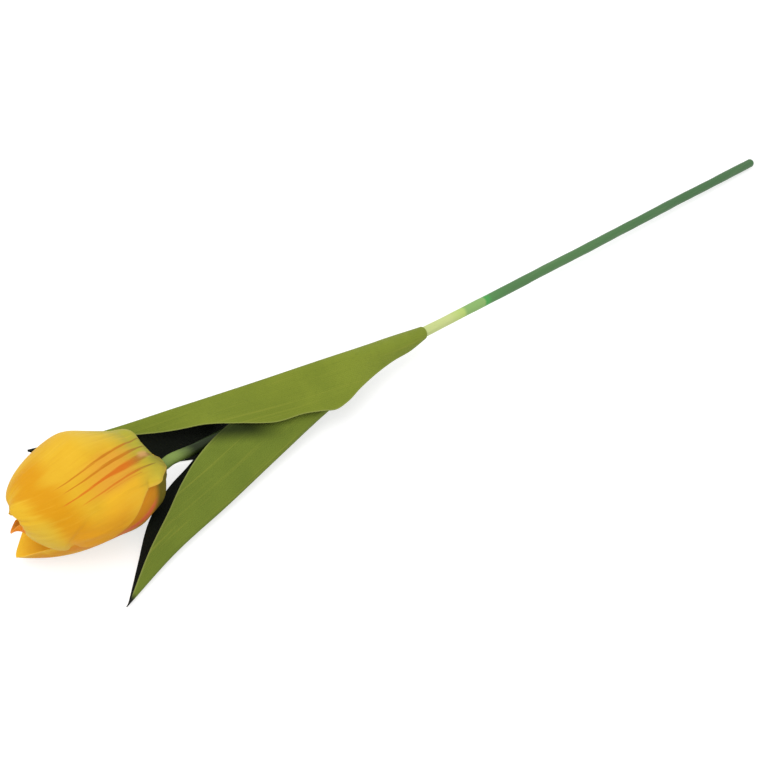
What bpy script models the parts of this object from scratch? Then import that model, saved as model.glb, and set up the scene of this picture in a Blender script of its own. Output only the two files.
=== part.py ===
"""A cut fabric tulip that lies on a surface.

The stem lies along X: the flower is at -X, the cut end at +X. Z is up, and Z = 0 is the surface.
Every length is in metres. The pieces are modelled with the flower's joint above X = 0, and the
last step moves them all so that the origin is under the middle of the whole.
"""

import math

import bmesh
import bpy
import numpy as np

GAP = 0.0003

STEM_LENGTH = 0.381
STEM_RADIUS = 0.0023
STEM_TOP_HEIGHT = 0.0150
STEM_NECK = (0.003, 0.006, 0.010, 0.014)
STEM_NECK_RISE = 0.0011
STEM_SAG = 0.0007
STEM_SAG_MIDDLE = 0.190
STEM_SAG_WIDTH = 0.170
STEM_KNOTS = 10
STEM_SIDES = 12

HEAD_LENGTH = 0.0644
HEAD_RADIUS = 0.0229
HEAD_PITCH = math.radians(15)
HEAD_SETBACK = 0.0019
PETAL_FOOT = 0.061
PETAL_THICKNESS = 0.0004
PETAL_LAYER = 0.00102

# The knob on the stem's end, inside the flower: height along the flower, and radius.
KNOB = ((0.0000, 0.0023), (0.0006, 0.0030), (0.0016, 0.0035), (0.0042, 0.0037), (0.0050, 0.0036))
PISTIL_RADIUS = 0.0015
PISTIL_LENGTH = 0.0200
STAMENS = 6
STAMEN_RING = 0.0026
STAMEN_SPREAD = 0.0030
STAMEN_LENGTH = 0.0230
FILAMENT_RADIUS = 0.0005

LEAF_THICKNESS = 0.0004

# Each leaf's keel, from its collar on the stem to its tip.
UPPER_KEEL = (
    (0.136, 0.001, 0.0124),
    (0.112, -0.0005, 0.0175),
    (0.088, 0.0015, 0.0216),
    (0.050, 0.0092, 0.0227),
    (0.018, 0.0192, 0.0207),
    (-0.012, 0.0280, 0.0195),
    (-0.039, 0.0370, 0.0192),
)
LOWER_KEEL = (
    (0.127, -0.0022, 0.0086),
    (0.117, -0.0026, 0.0083),
    (0.100, -0.0055, 0.0073),
    (0.072, -0.0105, 0.0070),
    (0.042, -0.0166, 0.0046),
    (0.012, -0.0235, 0.0029),
    (-0.018, -0.0306, 0.0024),
    (-0.045, -0.0394, 0.0008),
)

# Along a leaf, seen from its foot with the fold's opening upwards: how far along the keel, each half's
# width in tenths of a millimetre, the angle that each half turns through from the keel's own tangent, the
# bend's radius in tenths of a millimetre, and the way that the fold opens, as a direction in the YZ plane
# measured from +Y.
UPPER_RIGHT = (72, 96, 107, 129, 172, 205, 223, 213, 200, 200, 167, 127, 94, 25, 2)
UPPER_LEFT = (80, 94, 112, 137, 160, 173, 185, 192, 200, 214, 219, 243, 226, 166, 2)
UPPER_BEND = (28, 41, 45, 41, 33, 29, 26, 24, 22, 20, 18, 17, 15, 12, 10)
LOWER_RIGHT = (80, 84, 90, 109, 136, 169, 208, 238, 264, 272, 252, 232, 186, 90, 2)
LOWER_LEFT = (79, 83, 91, 99, 113, 135, 167, 208, 236, 240, 222, 187, 128, 66, 2)
LOWER_BEND = (28, 31, 31, 30, 28, 25, 22, 20, 18, 17, 15, 13, 12, 11, 10)
UPPER_FOLD = dict(
    stops=(0.0, 0.05, 0.12, 0.18, 0.25, 0.29, 0.33, 0.36, 0.40, 0.48, 0.55, 0.62, 0.70, 0.85, 1.0),
    right_width=UPPER_RIGHT,
    left_width=UPPER_LEFT,
    right_turn=(165, 118, 85, 67, 56, 56, 56, 56, 57, 51, 46, 46, 60, 60, 60),
    left_turn=(165, 118, 90, 73, 60, 58, 58, 58, 58, 57, 70, 89, 83, 70, 64),
    bend_radius=UPPER_BEND,
    opens_to=(250, 262, 270, 266, 256, 253, 251, 249, 246, 242, 238, 236, 234, 232, 232),
)
LOWER_FOLD = dict(
    stops=(0.0, 0.06, 0.12, 0.17, 0.22, 0.28, 0.35, 0.42, 0.50, 0.57, 0.65, 0.72, 0.80, 0.90, 1.0),
    right_width=LOWER_RIGHT,
    left_width=LOWER_LEFT,
    right_turn=(165, 112, 82, 75, 72, 73, 76, 77, 78, 78, 78, 78, 78, 78, 78),
    left_turn=(165, 118, 90, 77, 70, 72, 76, 78, 79.5, 79.5, 79, 78.5, 78, 78, 78),
    bend_radius=LOWER_BEND,
    opens_to=(38, 40, 38, 35, 32, 29, 26, 25, 24, 23, 22, 23, 24, 24, 24),
)

# Where the head stands out from the even egg shape, or in from it: an angle, a height, how far each way the
# hump reaches in degrees and in height, and how far it stands out in millimetres.
HEAD_HUMPS = (
    (0, 0.18, 70, 0.16, -1.45),
    (0, 0.31, 60, 0.06, 1.10),
    (-45, 0.43, 60, 0.15, -2.10),
    (0, 0.58, 60, 0.10, 1.40),
    (135, 0.49, 60, 0.22, -2.15),
    (95, 0.23, 60, 0.16, 0.40),
    (-80, 0.82, 60, 0.14, 0.40),
    (170, 0.90, 70, 0.13, -1.10),
)

# The petals' outlines: along a petal, how far it spreads to each side of its middle line, in millimetres
# on a ball of the head's radius. "left" is the side towards a smaller angle round the head.
PETAL_STOPS = (0, 0.04, 0.08, 0.16, 0.23, 0.30, 0.37, 0.45, 0.55, 0.65, 0.75, 0.85, 0.93, 1.0)
FAR_SPREAD = (1.5, 2.1, 5.0, 10.0, 15.0, 19.5, 23.0, 25.5, 27.0, 26.0, 23.5, 19.0, 14.0, 8.0)
INNER_SPREAD = (1.5, 2.1, 4.0, 8.0, 12.5, 17.0, 20.5, 23.0, 24.0, 23.0, 20.5, 16.0, 11.5, 6.5)

# Each petal: its middle line's angle at the foot, from the top towards the near side, how far the line turns
# round the head and how late, the height of its end, its layer counted inwards, its outline, the shape of its
# end (how far its corners reach past the end of its middle line, and how far its left half caps the head's
# tip), and how far its tip falls away from the head, from where, how suddenly and how much onward.
PETALS = {
    "petal_outer_near": dict(
        middle=26,
        turn=49,
        delay=2.2,
        tip=0.915,
        layer=0,
        left=(2.2, 2.6, 3.2, 4.5, 10.0, 15.5, 21.5, 29.0, 36.0, 38.0, 37.0, 31.0, 20.0, 5.0),
        right=(2.2, 3.2, 4.3, 6.4, 10.0, 13.2, 17.5, 23.5, 28.0, 27.2, 24.9, 22.9, 20.0, 12.5),
        corners=0.10,
        cap=0.062,
    ),
    "petal_outer_under": dict(
        middle=131.8,
        turn=56.5,
        tip=0.81,
        layer=1,
        left=(1.5, 2.0, 7.0, 18.0, 25.0, 28.5, 29.0, 28.5, 25.5, 22.0, 19.0, 17.0, 15.0, 12.0),
        right=(1.5, 2.1, 5.5, 11.5, 15.5, 17.9, 19.5, 20.8, 21.6, 21.4, 19.6, 16.9, 12.8, 7.3),
        fall=(0.0166, 0.451, 2.19, 0),
    ),
    "petal_outer_far": dict(middle=-92, turn=20, tip=0.94, layer=2, left=FAR_SPREAD, right=FAR_SPREAD),
    "petal_inner_near": dict(
        middle=88,
        turn=20,
        tip=0.89,
        layer=3,
        left=INNER_SPREAD,
        right=(1.5, 2.1, 4.0, 8.0, 12.5, 17.0, 20.0, 20.0, 16.0, 11.0, 7.5, 5.5, 4.0, 3.0),
    ),
    "petal_inner_under": dict(
        middle=-182,
        turn=0,
        tip=0.93,
        layer=4,
        left=INNER_SPREAD,
        right=(1.5, 2.1, 4.0, 8.0, 12.5, 17.0, 20.0, 20.5, 17.0, 13.5, 10.5, 8.0, 5.5, 3.5),
        fall=(0.0145, 0.50, 2.0, 0.16),
    ),
    "petal_inner_top": dict(middle=-32, turn=20, tip=0.89, layer=5, left=INNER_SPREAD, right=INNER_SPREAD),
}


def clear_scene():
    for thing in list(bpy.data.objects):
        bpy.data.objects.remove(thing)


def collection(name):
    made = bpy.data.collections.new(name)
    bpy.context.scene.collection.children.link(made)
    return made


def material(name, colour, roughness):
    made = bpy.data.materials.new(name)
    made.use_nodes = True
    shader = made.node_tree.nodes["Principled BSDF"]
    shader.inputs["Base Color"].default_value = (*colour, 1)
    shader.inputs["Roughness"].default_value = roughness
    return made


def smooth(at, stops, values):
    """A smooth curve through the values at the stops: cubic Hermite, each slope from its neighbours."""
    stops = np.asarray(stops, float)
    values = np.asarray(values, float)
    slopes = np.gradient(values, stops, axis=0)
    first = np.clip(np.searchsorted(stops, at, "right") - 1, 0, len(stops) - 2)
    span = stops[first + 1] - stops[first]
    along = (at - stops[first]) / span
    if values.ndim > 1:
        span, along = span[:, None], along[:, None]
    rise = along * along * (3 - 2 * along)
    start = values[first] + (values[first + 1] - values[first]) * rise
    lean_in = along * (1 - along) ** 2 * slopes[first]
    lean_out = along**2 * (1 - along) * slopes[first + 1]
    return start + (lean_in - lean_out) * span


def ease(value):
    """0 at 0 and below, 1 at 1 and above, smooth between."""
    value = np.clip(value, 0, 1)
    return value * value * (3 - 2 * value)


def hump(value, middle, width):
    """1 at the middle, falling smoothly to 0 a width away on both sides."""
    return ease(1 - np.abs(value - middle) / width)


def unit(vectors):
    return vectors / np.linalg.norm(vectors, axis=-1, keepdims=True)


def sheet(name, rows, columns, points_at, finish, thickness):
    """A grid bent into a sheet by points_at(across, along), across in -1..1 and along in 0..1."""
    grid = bmesh.new()
    bmesh.ops.create_grid(grid, x_segments=columns, y_segments=rows, size=1)
    flat = np.array([vertex.co for vertex in grid.verts])
    bent = points_at(flat[:, 0], (flat[:, 1] + 1) / 2)
    for vertex, point in zip(grid.verts, bent):
        vertex.co = point
    bmesh.ops.remove_doubles(grid, verts=grid.verts, dist=1e-6)
    mesh = bpy.data.meshes.new(name)
    grid.to_mesh(mesh)
    grid.free()
    mesh.shade_smooth()
    mesh.materials.append(finish)
    made = bpy.data.objects.new(name, mesh)
    wall = made.modifiers.new("thickness", "SOLIDIFY")
    wall.thickness = thickness
    wall.offset = 0
    wall.use_even_offset = False
    return made


def rod(name, points, radii, finish, sides=STEM_SIDES):
    """A round rod through the points, with a radius at each."""
    curve = bpy.data.curves.new(name, "CURVE")
    curve.dimensions = "3D"
    curve.bevel_depth = 1
    curve.bevel_resolution = sides // 2 - 2
    curve.use_fill_caps = True
    line = curve.splines.new("POLY")
    line.points.add(len(points) - 1)
    for knot, point, radius in zip(line.points, points, radii):
        knot.co = (*point, 1)
        knot.radius = radius
    curve.materials.append(finish)
    return bpy.data.objects.new(name, curve)


def stem_centre(x):
    """A straight line from the flower's joint to the cut end, which lies on the surface."""
    fall = (STEM_TOP_HEIGHT - STEM_RADIUS) / STEM_LENGTH
    return np.array((x, 0, STEM_TOP_HEIGHT - fall * x))


def stem_bend(x):
    """How far the stem's middle line rises off the straight line: up at its neck, a little down midway."""
    neck = STEM_NECK_RISE * ease((0.016 - x) / 0.014)
    return neck - STEM_SAG * hump(x, STEM_SAG_MIDDLE, STEM_SAG_WIDTH)


def head_axis():
    return np.array((-math.cos(HEAD_PITCH), 0, math.sin(HEAD_PITCH)))


def head_profile(polar):
    """The egg shape's radius and height, for an angle that runs from 0 at its foot to pi at its tip.

    The radius is a power of the angle's sine, rounder at the foot than at the tip, and a little
    greater towards the tip.
    """
    polar = np.clip(polar, 1e-6, math.pi - 1e-6)
    tipwards = (1 - np.cos(polar)) / 2
    radius = HEAD_RADIUS * np.sin(polar) ** (1.08 + 0.36 * tipwards) * (0.95 + 0.10 * tipwards)
    return radius, HEAD_LENGTH * tipwards


def make_stem(finish):
    """A nearly straight rod with a rounded cut end and, inside the flower, a knob that holds the petals."""
    joint, axis = stem_centre(-HEAD_SETBACK), head_axis()
    points = [joint + axis * height for height, _ in reversed(KNOB)]
    radii = [radius for _, radius in reversed(KNOB)]
    last = STEM_LENGTH - STEM_RADIUS
    knots = np.linspace(STEM_SAG_MIDDLE - STEM_SAG_WIDTH, STEM_SAG_MIDDLE + STEM_SAG_WIDTH, STEM_KNOTS)
    for x in (*STEM_NECK, *knots, last):
        points.append(stem_centre(x) + (0, 0, stem_bend(x)))
        radii.append(STEM_RADIUS)
    for turn in (30, 60, 82):
        angle = math.radians(turn)
        points.append(stem_centre(last + STEM_RADIUS * math.sin(angle)))
        radii.append(STEM_RADIUS * math.cos(angle))
    return rod("stem", points, radii, finish)


def on_head(polar, around, lift):
    """Points on the head: the egg shape, moved along its outward normal by the humps and the lift."""
    height = polar / math.pi
    stand = 0 * polar
    for angle, level, round_reach, level_reach, amount in HEAD_HUMPS:
        away = np.abs((around - angle + 180) % 360 - 180)
        swell = ease(1 - away / round_reach) * ease(1 - np.abs(height - level) / level_reach)
        stand = stand + amount / 1000 * swell
    stand = stand * ease((1 - height) / 0.06) + lift
    radius, rise = head_profile(polar)
    before, after = head_profile(polar - 0.01), head_profile(polar + 0.01)
    out, up = unit(np.stack((after[1] - before[1], before[0] - after[0]), -1)).T
    return radius + stand * out, rise + stand * up


def across_head(height, around, level, reach):
    """The polar angle and the angle round the head of a point that lies off a petal's middle line.

    On a unit ball, the point of the middle line turns about an axis by the reach over its circle's radius.
    Where level is 1 the axis is the ball's own, and the circle is level. Where it is 0 the axis is the
    middle line's own direction, so that the petal's end lies flat across the top of the ball.
    """
    polar, around = math.pi * height, np.radians(around)
    out, deep = np.sin(polar), np.cos(polar)
    centre = np.stack((out * np.cos(around), out * np.sin(around), -deep), -1)
    onward = np.stack((deep * np.cos(around), deep * np.sin(around), out), -1)
    axis = unit(level[:, None] * np.array((0.0, 0.0, 1.0)) + (1 - level[:, None]) * onward)
    along_axis = (axis * centre).sum(-1, keepdims=True)
    turn = reach[:, None] / (HEAD_RADIUS * np.sqrt(1 - along_axis**2))
    spot = centre * np.cos(turn) + np.cross(axis, centre) * np.sin(turn)
    spot = spot + axis * along_axis * (1 - np.cos(turn))
    return np.arccos(np.clip(-spot[:, 2], -1, 1)), np.degrees(np.arctan2(spot[:, 1], spot[:, 0]))


def make_petal(name, finish, middle, turn, tip, layer, left, right, delay=1, corners=-0.10, cap=0, fall=None):
    """A petal on the head's shape: level arcs across its middle line, which turn into arcs straight across
    the tip, each from its left margin to its right margin.

    Where the left half caps the head's tip, its arcs stay level. Each layer lies one step inside the layer
    before, from a little above the foot, which grips the stem. A tip that falls moves out from the head's
    axis, further and further towards its end, and a little onward along it.
    """

    def points_at(across, along):
        share = 0.4 * along + 0.6 * (1 - np.cos(math.pi * along)) / 2
        share = share * (1 + share**3 * corners * np.abs(across) ** (4 if corners > 0 else 2))
        rightwards, leftwards = smooth(share, PETAL_STOPS, right), smooth(share, PETAL_STOPS, left)
        spread = np.where(across > 0, rightwards, leftwards) / 1000
        height = PETAL_FOOT + (tip - PETAL_FOOT) * share + cap * share**6 * ease((0.20 - across) / 0.22)
        line = middle + turn * share**delay
        tilt = ease((height - 0.5) / 0.4) * (ease((across + 0.30) / 0.40) if cap else 1)
        polar, around = across_head(height, line, 1 - tilt, spread * across)
        radius, rise = on_head(polar, around, -PETAL_LAYER * layer * ease(share / 0.12))
        around = np.radians(around)
        x, y = radius * np.cos(around), -radius * np.sin(around)
        if fall:
            amount, start, power, onward = fall
            away = amount * np.clip((share - start) / (1 - start), 0, 1) ** power
            away = away * ease((across + 1.04) / 1.2)
            x = x + away * np.cos(np.radians(line))
            y = y - away * np.sin(np.radians(line))
            rise = rise + away * onward
        return np.stack((x, y, rise), -1)

    return sheet(name, 24, 16, points_at, finish, PETAL_THICKNESS)


def make_pistil(finish):
    """A slender body with a wider crown, standing on the stem's knob."""
    profile = ((0, 1.0), (0.55, 0.9), (0.8, 0.75), (0.92, 1.35), (1.0, 0.9))
    points = [(0, 0, KNOB[-1][0] + GAP + PISTIL_LENGTH * height) for height, _ in profile]
    return rod("pistil", points, [PISTIL_RADIUS * swell for _, swell in profile], finish, 8)


def make_stamen(number, finish):
    """A thin stalk that leans out, with a long anther on its end."""
    angle = math.tau * number / STAMENS
    base = KNOB[-1][0] + GAP
    profile = ((0, 1), (0.55, 1), (0.6, 2.2), (0.8, 2.6), (0.95, 1.8), (1, 0.8))
    points = []
    for height, _ in profile:
        ring = STAMEN_RING + STAMEN_SPREAD * height
        points.append((ring * math.cos(angle), ring * math.sin(angle), base + STAMEN_LENGTH * height))
    radii = [FILAMENT_RADIUS * swell for _, swell in profile]
    return rod(f"stamen_{number + 1}", points, radii, finish, 6)


def make_leaf(name, keel, fold, finish):
    """A leaf folded along its keel: a sleeve round the stem at its foot, then an open V that ends in a point.

    Each half leaves the keel square to the fold, turns through its angle on a round bend, then runs straight.
    """
    keel = np.array(keel)
    steps = np.linalg.norm(np.diff(keel, axis=0), axis=1)
    stops = np.concatenate(([0], np.cumsum(steps))) / steps.sum()

    def spot(along):
        return smooth(np.clip(along, 0, 1), stops, keel)

    def points_at(across, along):
        nudge = 1e-3
        run = unit(spot(along + nudge) - spot(along - nudge))
        value = {key: smooth(along, fold["stops"], row) for key, row in fold.items() if key != "stops"}
        for key in ("right_width", "left_width", "bend_radius"):
            value[key] = np.maximum(value[key], 1) * 1e-4
        opens = np.radians(value["opens_to"])
        inner = np.stack((0 * opens, np.cos(opens), np.sin(opens)), -1)
        inner = unit(inner - run * (inner * run).sum(-1, keepdims=True))
        side = np.cross(inner, run)
        right = across < 0
        turn = np.radians(np.where(right, value["right_turn"], value["left_turn"]))
        reach = np.abs(across) * np.where(right, value["right_width"], value["left_width"])
        bend = value["bend_radius"]
        bent = np.minimum(reach / bend, turn)
        straight = reach - bent * bend
        sideways = bend * np.sin(bent) + straight * np.cos(bent)
        inwards = bend * (1 - np.cos(bent)) + straight * np.sin(bent)
        sideways = np.where(right, -sideways, sideways)
        return spot(along) + inner * inwards[:, None] + side * sideways[:, None]

    return sheet(name, 40, 12, points_at, finish, LEAF_THICKNESS)


def head_frame():
    """An empty on the flower's joint: its Z runs along the flower, its X points up."""
    frame = bpy.data.objects.new("head_frame", None)
    frame.location = stem_centre(-HEAD_SETBACK)
    frame.rotation_euler = (0, HEAD_PITCH - math.pi / 2, 0)
    return frame


def stand_on_origin(parts, frame):
    """Moves the whole so that the origin is under its middle, on the surface."""
    bpy.context.view_layer.update()
    graph = bpy.context.evaluated_depsgraph_get()
    corners = []
    for part in parts:
        shown = part.evaluated_get(graph)
        mesh = shown.to_mesh()
        corners.extend(shown.matrix_world @ vertex.co for vertex in mesh.vertices)
        shown.to_mesh_clear()
    low, high = np.min(corners, axis=0), np.max(corners, axis=0)
    shift = ((low[0] + high[0]) / 2, (low[1] + high[1]) / 2, low[2])
    for moved in [part for part in parts if part.parent is None] + [frame]:
        moved.location = np.array(moved.location) - shift


def main():
    clear_scene()
    tulip = collection("tulip")
    stalk = material("stem_green", (0.12, 0.28, 0.10), 0.45)
    green = material("leaf_green", (0.17, 0.25, 0.04), 0.70)
    yellow = material("petal_yellow", (0.86, 0.52, 0.04), 0.75)
    heart = material("heart_green", (0.45, 0.50, 0.16), 0.55)
    pollen = material("pollen_brown", (0.10, 0.06, 0.03), 0.80)
    frame = head_frame()
    tulip.objects.link(frame)
    head = [make_petal(name, yellow, **shape) for name, shape in PETALS.items()]
    head.append(make_pistil(heart))
    head.extend(make_stamen(number, pollen) for number in range(STAMENS))
    parts = head + [
        make_stem(stalk),
        make_leaf("leaf_upper", UPPER_KEEL, UPPER_FOLD, green),
        make_leaf("leaf_lower", LOWER_KEEL, LOWER_FOLD, green),
    ]
    for part in parts:
        tulip.objects.link(part)
    for part in head:
        part.parent = frame
    stand_on_origin(parts, frame)


main()
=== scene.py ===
"""The looks of a cut cloth tulip that lies on a surface.

Lengths are in metres. The pieces are worked out with the flower's joint above the origin, the stem
along +X and the surface at Z = 0, and then moved to where the frame's stem lies.
"""

import math

import bpy
import numpy as np
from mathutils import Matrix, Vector


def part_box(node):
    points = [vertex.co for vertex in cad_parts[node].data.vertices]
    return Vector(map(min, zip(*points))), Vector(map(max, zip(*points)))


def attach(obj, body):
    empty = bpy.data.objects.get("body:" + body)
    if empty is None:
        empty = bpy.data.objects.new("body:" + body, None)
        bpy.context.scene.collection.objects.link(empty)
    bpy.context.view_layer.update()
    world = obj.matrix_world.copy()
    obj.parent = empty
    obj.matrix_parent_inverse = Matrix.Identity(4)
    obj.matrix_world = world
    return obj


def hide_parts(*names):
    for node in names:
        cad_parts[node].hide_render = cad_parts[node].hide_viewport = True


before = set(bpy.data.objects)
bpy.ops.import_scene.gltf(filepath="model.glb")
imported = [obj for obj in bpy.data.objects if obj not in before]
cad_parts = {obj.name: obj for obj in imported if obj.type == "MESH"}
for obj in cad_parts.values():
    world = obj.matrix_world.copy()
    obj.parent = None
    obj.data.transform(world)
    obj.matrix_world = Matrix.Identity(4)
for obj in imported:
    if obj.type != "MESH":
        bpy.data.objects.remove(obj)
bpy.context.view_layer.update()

# The stem, as in the frame: its length, its radius and its height at the flower. It rises towards the
# flower in its neck, from the neck's end over the neck's length, and sags within reach of the sag's middle.
STEM_LENGTH = 0.381
STEM_RADIUS = 0.0023
STEM_TOP_HEIGHT = 0.0150
STEM_NECK_RISE = 0.0011
STEM_NECK_END = 0.016
STEM_NECK_LENGTH = 0.014
STEM_SAG = 0.0007
STEM_SAG_MIDDLE = 0.190
STEM_SAG_REACH = 0.170
STEM_SECTIONS = 260
STEM_SIDES = 28

# The flower's head: an egg shape, tipped up, whose foot lies a little beyond the joint.
HEAD_LENGTH = 0.0644
HEAD_RADIUS = 0.0229
HEAD_PITCH = math.radians(15)
HEAD_SETBACK = 0.0019

# The petals' cloth: its thickness, the step from one layer to the next, the points along and across a
# petal, and a petal's length, which turns a share of it into a distance.
PETAL_THICKNESS = 0.00035
PETAL_LAYER = 0.00095
PETAL_ROWS = 110
PETAL_COLUMNS = 81
PETAL_LENGTH = 0.07

# The knob on the stem's end, inside the flower: height along the flower, and radius.
KNOB = ((0.0000, 0.0023), (0.0006, 0.0031), (0.0016, 0.0037), (0.0042, 0.0038), (0.0050, 0.0036))

# The heart of the flower, which stands on the knob.
HEART_BASE = 0.0053
HEART_SECTIONS = 40
PISTIL_LENGTH = 0.0200
PISTIL_RADIUS = 0.0015
PISTIL_SIDES = 24
STAMENS = 6
STAMEN_LENGTH = 0.0230
STAMEN_RING = 0.0026
STAMEN_SPREAD = 0.0030
FILAMENT_RADIUS = 0.0005
STAMEN_SIDES = 16

# The leaves' cloth: its thickness, and the points along and across a leaf.
LEAF_THICKNESS = 0.00038
LEAF_ROWS = 170
LEAF_COLUMNS = 65

# The line on the lower leaf, seen from above, where the upper leaf starts to lie over it, from which the
# lower leaf's painted shadow is measured: its Y at the joint, and how fast Y rises with X.
COVER_START = 0.0093
COVER_SLOPE = -0.337

# The point of the surface below the flower's joint, from the frame's stem.
STEM_LOW, STEM_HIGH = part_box("stem")
JOINT = np.array((STEM_HIGH.x - STEM_LENGTH, (STEM_LOW.y + STEM_HIGH.y) / 2, STEM_LOW.z))


# ---------------------------------------------------------------------------------------------
# Curves


def ease(value):
    """0 at 0 and below, 1 at 1 and above, smooth between: 3t squared less 2t cubed."""
    value = np.clip(value, 0, 1)
    return value * value * (3 - 2 * value)


def hump(value, middle, width):
    """1 at the middle, falling smoothly to 0 a width away on both sides."""
    return ease(1 - np.abs(value - middle) / width)


def unit(vectors):
    """Each vector over its own length."""
    return vectors / np.maximum(np.linalg.norm(vectors, axis=-1, keepdims=True), 1e-12)


def smooth(at, stops, values):
    """A smooth curve through the values at the stops: cubic Hermite, each slope from its neighbours."""
    stops, values = np.asarray(stops, float), np.asarray(values, float)
    slopes = np.gradient(values, stops, axis=0)
    first = np.clip(np.searchsorted(stops, at, "right") - 1, 0, len(stops) - 2)
    span = stops[first + 1] - stops[first]
    along = (np.clip(at, stops[0], stops[-1]) - stops[first]) / span
    if values.ndim > 1:
        span, along = span[..., None], along[..., None]
    start = values[first] + (values[first + 1] - values[first]) * along * along * (3 - 2 * along)
    lean_in = along * (1 - along) ** 2 * slopes[first]
    lean_out = along**2 * (1 - along) * slopes[first + 1]
    return start + (lean_in - lean_out) * span


def stem_centre(x):
    """The stem's middle line before it bends: straight from the joint to the cut end, which lies on the
    surface."""
    fall = (STEM_TOP_HEIGHT - STEM_RADIUS) / STEM_LENGTH
    x = np.asarray(x, float)
    return np.stack((x, 0 * x, STEM_TOP_HEIGHT - fall * x), -1)


# The flower's own directions: along it, up across it, and away from the near side.
HEAD_AXIS = np.array((-math.cos(HEAD_PITCH), 0, math.sin(HEAD_PITCH)))
HEAD_TOP = np.array((math.sin(HEAD_PITCH), 0, math.cos(HEAD_PITCH)))
HEAD_FAR = np.array((0, 1, 0))


def in_head(around, radius, height):
    """A place in the flower, from an angle in degrees from the top towards the near side, a radius and a
    height."""
    around = np.radians(around)[..., None]
    sideways = HEAD_TOP * np.cos(around) - HEAD_FAR * np.sin(around)
    return stem_centre(-HEAD_SETBACK) + sideways * radius[..., None] + HEAD_AXIS * height[..., None]


# ---------------------------------------------------------------------------------------------
# Meshes


def quads(rows, columns, round_columns=False):
    """The faces of a grid of points, row by row. A round grid's last column meets its first."""
    index = np.arange(rows * columns).reshape(rows, columns)
    if round_columns:
        index = np.concatenate((index, index[:, :1]), 1)
    corners = (index[:-1, :-1], index[:-1, 1:], index[1:, 1:], index[1:, :-1])
    return np.stack([corner.ravel() for corner in corners], -1)


def piece(name, node, points, faces, finish, maps=(), marks=()):
    """A mesh object that stands for the frame's node, with its UV maps and its marks, which are a number for
    each point."""
    mesh = bpy.data.meshes.new(name)
    mesh.from_pydata((points + JOINT).astype(np.float32), [], faces)
    corners = np.empty(len(mesh.loops), np.int32)
    mesh.loops.foreach_get("vertex_index", corners)
    for label, uv in dict(maps).items():
        mesh.uv_layers.new(name=label).uv.foreach_set("vector", uv[corners].astype(np.float32).ravel())
    for label, values in dict(marks).items():
        mesh.attributes.new(label, "FLOAT", "POINT").data.foreach_set("value", values.astype(np.float32))
    mesh.shade_smooth()
    mesh.set_sharp_from_angle(angle=math.radians(60))
    mesh.materials.append(finish)
    mesh.validate()
    made = bpy.data.objects.new(name, mesh)
    bpy.context.scene.collection.objects.link(made)
    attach(made, "root")
    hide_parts(node)
    return made


def cloth(node, middle, thickness, uv, margin, finish, slot, **marks):
    """A closed sheet of cloth: the grid of middle points pushed half the thickness out along its normal for
    the outer face, half in for the inner face, and a rim of faces that joins the two round the edge.
    """
    rows, columns = middle.shape[:2]
    normal = unit(np.cross(np.gradient(middle, axis=1), np.gradient(middle, axis=0)))
    outer, inner = middle + normal * thickness / 2, middle - normal * thickness / 2
    count = rows * columns
    front = quads(rows, columns)
    index = np.arange(count).reshape(rows, columns)
    edge = np.concatenate((index[0], index[1:, -1], index[-1, -2::-1], index[-2:0:-1, 0]))
    after = np.roll(edge, -1)
    rim = np.stack((after, edge, edge + count, after + count), -1)
    faces = np.concatenate((front, front[:, ::-1] + count, rim))
    points = np.concatenate((outer.reshape(-1, 3), inner.reshape(-1, 3)))
    maps = {"cloth": np.tile(uv.reshape(-1, 2), (2, 1))}
    marks = {label: np.tile(values.ravel(), 2) for label, values in {**marks, "margin": margin}.items()}
    marks["inside"] = np.repeat((0.0, 1.0), count)
    return piece(node + "_cloth", node, points, faces, finish, maps, marks)


def tube(centres, radii, sides, squash=None):
    """A closed rod: rings square to its path, joined ring to ring, with a fan of faces at each end.

    A ring's radius may change round it: squash gives a factor for each angle. The angle runs from side to up,
    anticlockwise as seen from the path's end, so that the faces point outwards.
    """
    angles = np.linspace(0, math.tau, sides, endpoint=False)
    run = unit(np.gradient(centres, axis=0))
    side = unit(np.cross(run, np.array((0.3, 0.0, 1.0))))
    up = np.cross(run, side)
    factor = np.ones(sides) if squash is None else squash(angles)
    spokes = side[:, None] * np.cos(angles)[:, None] + up[:, None] * np.sin(angles)[:, None]
    rings = centres[:, None] + spokes * (radii[:, None] * factor)[..., None]
    count = len(centres) * sides
    points = np.concatenate((rings.reshape(-1, 3), centres[:1], centres[-1:]))
    wall = quads(len(centres), sides, True)
    ring = np.arange(sides)
    after = np.roll(ring, -1)
    start = np.stack((after, ring, np.full(sides, count)), -1)
    last = (len(centres) - 1) * sides
    end = np.stack((last + ring, last + after, np.full(sides, count + 1)), -1)
    faces = wall.tolist() + start.tolist() + end.tolist()
    return points, faces


def lobed(lobes, depth):
    """A tube's squash: 1 plus the depth times the cosine of the angle times the number of lobes."""
    return lambda angles: 1 + depth * np.cos(lobes * angles)


# ---------------------------------------------------------------------------------------------
# Finishes


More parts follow.
